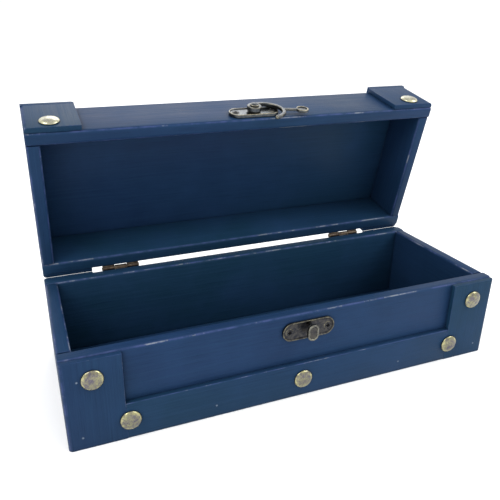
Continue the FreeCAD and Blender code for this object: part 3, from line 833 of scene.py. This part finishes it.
# %% [markdown]
# ## Screws with a cross recess
# The screws already have their true shape in the frame, cross recess and all, but its edges
# are knife sharp and its mesh is loose triangles. We take a copy, merge it, and grow a fine
# skin round it, which softens every edge as a tumbled screw's edges are. The recess stays
# deep enough to hold dark grime, and it is also painted dark as painted shade, which makes
# it read as a cross.

# %% Re-skin the screws
RECESS_HALF_WIDTH = 0.55
RECESS_HALF_LENGTH = 1.55
RECESS_REACH = 1.5
SCREW_VOXEL = 0.14


def grimy_shaded_recess(node):
    """Wear for screws that face forward: the driver's recess and its brink are marked for grime and
    painted shade.
    """
    centres = centres_in(node)
    front = square_box(node)[0].y

    def wear(bm):
        proud = high_spots(bm)
        for vertex in bm.verts:
            place = vertex.co
            away = min(((abs(place.x - spot.x), abs(place.z - spot.z)) for spot in centres), key=max)
            in_cross = min(away) < RECESS_HALF_WIDTH and max(away) < RECESS_HALF_LENGTH
            # The recess is marked -1, so it gets grime and painted shade.
            if in_cross and place.y < front + RECESS_REACH:
                proud[vertex.index] = -1.0
        return proud
    return wear


def tumbled(node, finish, voxel, wear=high_spots):
    """The node's own shape with its edges worn soft."""
    new_piece(cast([node_copy(node)], voxel, 1), node + "_tumbled", BODY_OF[node], finish,
              (node,), crease=60, wear=wear)


for node in ("catch_plate_screws", "hook_plate_screws"):
    tumbled(node, DARK_BRONZE, SCREW_VOXEL, grimy_shaded_recess(node))

# %% [markdown]
# ## The catch
# A short stem stands out of the lower plate and carries an upright oval head, which keeps
# the hook from slipping off. Its rim is polished by use around a dull, slightly sunk face.
# The head is the same stadium as the plates, with its front edge rounded before the inset.

# %% Stem and head
low, high = square_box("catch_post")
wide, tall, reach = high.x - low.x, high.z - low.z, high.y - low.y
HEAD_THICKNESS = 2.6
HEAD_ROUND = 0.75
HEAD_RIM, HEAD_SLOPE, HEAD_DISH = 0.4, 0.6, 0.8
STEM_RADIUS = 1.7
STEM_RISE = 4.6
PLATE_HALF_HEIGHT = 7.5
head = stadium(wide, tall, reach - HEAD_THICKNESS, reach)
head.normal_update()
soften(head, HEAD_ROUND, 4, lambda middle, way: middle.z > reach - 0.1)
head.normal_update()
face = top_face(head)
bmesh.ops.inset_region(head, faces=[face], thickness=HEAD_RIM, use_even_offset=True)
bmesh.ops.inset_region(head, faces=[face], thickness=HEAD_SLOPE, depth=-HEAD_DISH, use_even_offset=True)
plate_middle = square_box("catch_plate")[1].z - PLATE_HALF_HEIGHT
stem_height = plate_middle + STEM_RISE - (low.z + high.z) / 2
stem = disc(STEM_RADIUS, 0.0, reach - 1.0, x=0.0, y=stem_height)
new_piece(cast([head, stem], FINE_VOXEL, 2), "catch_post_cast", "base", RUBBED_BRONZE,
          ("catch_post",), facing((low.x + high.x) / 2, high.y, (low.z + high.z) / 2), crease=60)

# %% [markdown]
# ## The swing hook and its rivet
# The hook is one casting: an eye round the rivet, a bow that curls round the catch's stem to
# a ball tip, a thin neck and a thumb disc with a raised rim. The bow is a profile spun only
# part of a turn: the profile is one upright side of a thin block, with its corners rounded.
# Everything overlaps a little and is wrapped in one skin.

# %% The hook's bow, ball and rings
HOOK_REACH = 19.5
BOW_BACK, BOW_DROP = 10.1, 4.2
BOW_WIDTH = 2.9
BOW_THICKNESS = 3.0
BOW_ROUND = 0.75
BOW_PLAY = 0.34
BOW_TIP = math.radians(-68)
BOW_SWEEP = math.radians(228)
BALL_RADIUS = 1.6
HOOK_BACK, EYE_TOP = (corner.z for corner in square_box("swing_hook"))
BOW_INNER = math.hypot(BOW_BACK, BOW_DROP) + STEM_RADIUS + BOW_PLAY
BOW_CENTRE = Vector((HOOK_REACH - BOW_BACK, -BOW_DROP, 0))
print("bow", round(BOW_INNER, 2), "mm inside, round a stem", HOOK_REACH, "mm from the rivet")


def bow():
    """A round-edged bar bent from its root, beside the eye, to its tip."""
    bm = block(Vector((BOW_INNER, -0.01, HOOK_BACK)),
               Vector((BOW_INNER + BOW_WIDTH, 0.01, HOOK_BACK + BOW_THICKNESS)))
    spare = [v for v in bm.verts if v.co.y < 0]
    bmesh.ops.delete(bm, geom=spare, context="VERTS")
    bmesh.ops.bevel(bm, geom=bm.verts[:], offset=BOW_ROUND, offset_type="OFFSET", segments=4,
                    profile=0.5, affect="VERTICES", material=-1)
    bmesh.ops.rotate(bm, cent=(0, 0, 0), matrix=Matrix.Rotation(BOW_TIP, 3, "Z"), verts=bm.verts)
    bmesh.ops.spin(bm, geom=bm.faces[:] + bm.edges[:] + bm.verts[:], cent=(0, 0, 0), axis=(0, 0, 1),
                   angle=BOW_SWEEP, steps=48, use_merge=False)
    bmesh.ops.translate(bm, vec=BOW_CENTRE, verts=bm.verts)
    bmesh.ops.recalc_face_normals(bm, faces=bm.faces)
    return bm


def tip_ball():
    """The ball on the bow's free end."""
    bm = bmesh.new()
    bmesh.ops.create_uvsphere(bm, u_segments=24, v_segments=16, radius=BALL_RADIUS)
    swing = BOW_INNER + BALL_RADIUS + BOW_PLAY
    spot = Vector((swing * math.cos(BOW_TIP), swing * math.sin(BOW_TIP), HOOK_BACK + BOW_THICKNESS / 2))
    bmesh.ops.translate(bm, vec=BOW_CENTRE + spot, verts=bm.verts)
    return bm


def ring(inner, outer, bottom, top, lip=0.4, x=0.0):
    """A round-edged ring."""
    outline = [(inner, bottom + 0.2), (inner + 0.2, bottom), (outer - lip, bottom),
               (outer - 0.3 * lip, bottom + 0.3 * lip), (outer, bottom + lip), (outer, top - lip),
               (outer - 0.3 * lip, top - 0.3 * lip), (outer - lip, top), (inner + 0.2, top),
               (inner, top - 0.2), (inner, bottom + 0.2)]
    bm = spun(outline, 48)
    bmesh.ops.translate(bm, vec=(x, 0, 0), verts=bm.verts)
    return bm


# %% Cast the hook in one skin
EYE_INNER, EYE_OUTER = 1.7, 6.0
NECK_HALF_WIDTH, NECK_THICKNESS = 1.3, 2.2
THUMB_REACH = 21.5
THUMB_PLACE = HOOK_REACH + THUMB_REACH
THUMB_INNER, THUMB_OUTER = 4.0, 5.25
THUMB_THICKNESS, THUMB_RIM_THICKNESS = 1.6, 2.5
eye = ring(EYE_INNER, EYE_OUTER, HOOK_BACK, EYE_TOP, 0.7)
neck = block(Vector((BOW_CENTRE.x + BOW_INNER, -NECK_HALF_WIDTH, HOOK_BACK)),
             Vector((THUMB_PLACE - THUMB_INNER, NECK_HALF_WIDTH, HOOK_BACK + NECK_THICKNESS)))
soften_rest(neck, 0.6, 3)
thumb = disc(THUMB_OUTER - 0.05, HOOK_BACK, HOOK_BACK + THUMB_THICKNESS, 0.4, x=THUMB_PLACE)
thumb_rim = ring(THUMB_INNER, THUMB_OUTER, HOOK_BACK, HOOK_BACK + THUMB_RIM_THICKNESS, 0.45,
                 x=THUMB_PLACE)
new_piece(cast([eye, bow(), tip_ball(), neck, thumb, thumb_rim]), "swing_hook_cast", "hook",
          HANDLED_BRONZE, ("swing_hook",), crease=60)

# %% The rivet, with a stepped head
HOOK_FLOAT = 0.3
RIVET_SHANK = 1.6
RIVET_TOP = square_box("hook_pivot_rivet", HOOK)[1].z
under = EYE_TOP + HOOK_FLOAT
rivet_shank = [(0.0, 0.0), (RIVET_SHANK, 0.0), (RIVET_SHANK, under)]
rivet_step = [(3.6, under), (3.9, under + 0.3), (3.8, under + 0.65), (3.4, under + 0.85)]
rivet_dome = [(3.0, under + 0.8), (2.8, under + 0.95), (2.3, under + 1.35), (1.3, RIVET_TOP - 0.1),
              (0.0, RIVET_TOP)]
rivet = spun(rivet_shank + rivet_step + rivet_dome, 48)
new_piece(cast([rivet], FINE_VOXEL, 2), "hook_pivot_rivet_turned", "lid", HANDLED_BRONZE,
          ("hook_pivot_rivet",), HOOK, crease=60)

# %% [markdown]
# ## Hinges
# Two small butt hinges are screwed to the back: one leaf on the base, one on the lid, and
# knuckles that share a pin. Plate, necks and knuckles are wrapped in one skin, so each leaf
# looks pressed from one sheet. The knuckles' ends stay apart by a small gap. The pins and
# the screws are re-skinned copies, as the latch's screws are.

# %% Leaves
KNUCKLE_GAP = 0.3
KNUCKLE = 2.2
LEAF = 0.9
LEAF_HEIGHT = 12.0
LEAF_RELIEF = 0.35
LEAF_CORNER = 1.6
LEAF_VOXEL = 0.22


def along_x(bm):
    """Lay a shape that was spun upright along the chest."""
    bmesh.ops.rotate(bm, cent=(0, 0, 0), matrix=Matrix.Rotation(math.radians(90), 3, "Y"), verts=bm.verts)
    return bm


def hinge_leaf(side, part, way):
    """One leaf in the frame whose origin is the pin's axis; way is 1 up or -1 down from it."""
    node = f"hinge_{side}_{part}_leaf"
    square = LID if part == "lid" else Matrix.Translation(PIN)
    low, high = square_box(node, square)
    long = high.x - low.x
    knuckle = (long - 2 * KNUCKLE_GAP) / 3
    starts = [low.x, high.x - knuckle] if part == "lid" else [low.x + knuckle + KNUCKLE_GAP]
    edge = KNUCKLE + LEAF_RELIEF
    foot, crest = sorted((way * edge, way * (edge + LEAF_HEIGHT)))
    plate = block(Vector((low.x, low.y, foot)), Vector((high.x, low.y + LEAF, crest)))
    soften(plate, LEAF_CORNER, 4,
           lambda middle, run: abs(run.y) > 0.9 and near(abs(middle.z), edge + LEAF_HEIGHT))
    parts = [plate]
    for start in starts:
        barrel = along_x(disc(KNUCKLE, 0.0, knuckle, 0.25))
        bmesh.ops.translate(barrel, vec=(start, 0, 0), verts=barrel.verts)
        near_end, far_end = sorted((0.0, way * (edge + 1.2)))
        neck = block(Vector((start, low.y, near_end)), Vector((start + knuckle, low.y + LEAF, far_end)))
        parts += [barrel, neck]
    new_piece(cast(parts, LEAF_VOXEL, 2), node + "_pressed", part, BROWN_BRONZE, (node,),
              square, crease=60)


for side in ("left", "right"):
    hinge_leaf(side, "base", -1)
    hinge_leaf(side, "lid", 1)

# %% Pins and hinge screws
for node in ("hinge_left_pin", "hinge_right_pin", "hinge_base_screws", "hinge_lid_screws"):
    tumbled(node, BROWN_BRONZE, FINE_VOXEL)

# %% [markdown]
# ## Floor, light and camera
# The chest stands on a plain pale floor in a bright, soft studio. The white sky gives most of
# the light. A wide light low behind the chest makes the sheen on the lid's upper side, with a
# smaller one beside it for glints on the brass, and one large light from each side fills the
# shadows. The floor glows a little, so it stays white. The camera stands a little to the
# left, above the chest, with a lens near to a normal view.

# %% Floor and sky
SKY_STRENGTH = 1.06
FLOOR_GLOW = 0.12
FLOOR_SIZE = 40.0


def pale_paper():
    """Nearly white paper that glows faintly."""
    finish, tree, output = empty_finish("studio_paper")
    where = add(tree, "TexCoord").outputs["Object"]
    tint = mixed(tree, cloud(tree, where, 3.0), colour(246, 246, 246), colour(250, 250, 250))
    shader = add(tree, "BsdfPrincipled", Base_Color=tint)
    shader.inputs["Roughness"].default_value = 0.9
    shader.inputs["Emission Color"].default_value = (1.0, 1.0, 1.0, 1.0)
    shader.inputs["Emission Strength"].default_value = FLOOR_GLOW
    tree.links.new(shader.outputs["BSDF"], output.inputs["Surface"])
    return finish


sheet = bmesh.new()
bmesh.ops.create_grid(sheet, x_segments=1, y_segments=1, size=FLOOR_SIZE)
paper = bpy.data.meshes.new("studio_floor")
sheet.to_mesh(paper)
sheet.free()
paper.transform(Matrix.Translation((0, 0, cad_box[0].z - 0.0002)))
paper.materials.append(pale_paper())
floor = bpy.data.objects.new("studio_floor", paper)
bpy.context.scene.collection.objects.link(floor)

world = bpy.data.worlds.new("studio_sky")
bpy.context.scene.world = world
world.use_nodes = True
sky = world.node_tree.nodes["Background"]
sky.inputs["Color"].default_value = (1.0, 1.0, 1.0, 1.0)
sky.inputs["Strength"].default_value = SKY_STRENGTH
bpy.context.scene.view_settings.view_transform = "Standard"
print("floor and sky ready")


# %% Lights
def soft_light(name, place, size, power):
    """A flat light of the given width and height in metres, aimed at the chest's middle."""
    data = bpy.data.lights.new(name, "AREA")
    data.shape = "RECTANGLE"
    data.size, data.size_y = size
    data.energy = power
    light = bpy.data.objects.new(name, data)
    light.location = MIDDLE + Vector(place)
    light.rotation_euler = (MIDDLE - light.location).to_track_quat("-Z", "Y").to_euler()
    bpy.context.scene.collection.objects.link(light)
    print(name, "at", tuple(round(part, 3) for part in light.location), "with", power, "W")


MIDDLE = (cad_box[0] + cad_box[1]) / 2
soft_light("key_behind_above", (0.25, 1.35, 1.0), (2.2, 0.7), 4.8)
soft_light("glint", (0.35, 1.35, 1.1), (0.9, 0.4), 3.8)
soft_light("fill_left", (-1.0, -0.5, 1.2), (0.8, 0.8), 8.5)
soft_light("fill_right", (1.1, -0.5, 1.0), (0.8, 0.8), 9.0)

# %% Camera
CAMERA_SPOT = Vector((-0.1776, -0.3720, 0.2704))
CAMERA_YAW = math.radians(20.61)
CAMERA_DOWN = math.radians(22.25)
LENS = 39.53
SENSOR = 36.0
SHIFT = (0.0476, -0.0164)
view = bpy.data.cameras.new("studio_camera")
view.lens = LENS
view.sensor_width = SENSOR
view.shift_x, view.shift_y = SHIFT
view.clip_start = 0.01
view.dof.use_dof = False
camera = bpy.data.objects.new("studio_camera", view)
level = math.cos(CAMERA_DOWN)
aim = Vector((math.sin(CAMERA_YAW) * level, math.cos(CAMERA_YAW) * level, -math.sin(CAMERA_DOWN)))
camera.location = CAMERA_SPOT
camera.rotation_euler = aim.to_track_quat("-Z", "Y").to_euler()
bpy.context.scene.collection.objects.link(camera)
bpy.context.scene.camera = camera
print("camera at", tuple(CAMERA_SPOT), "with a", LENS, "mm lens")
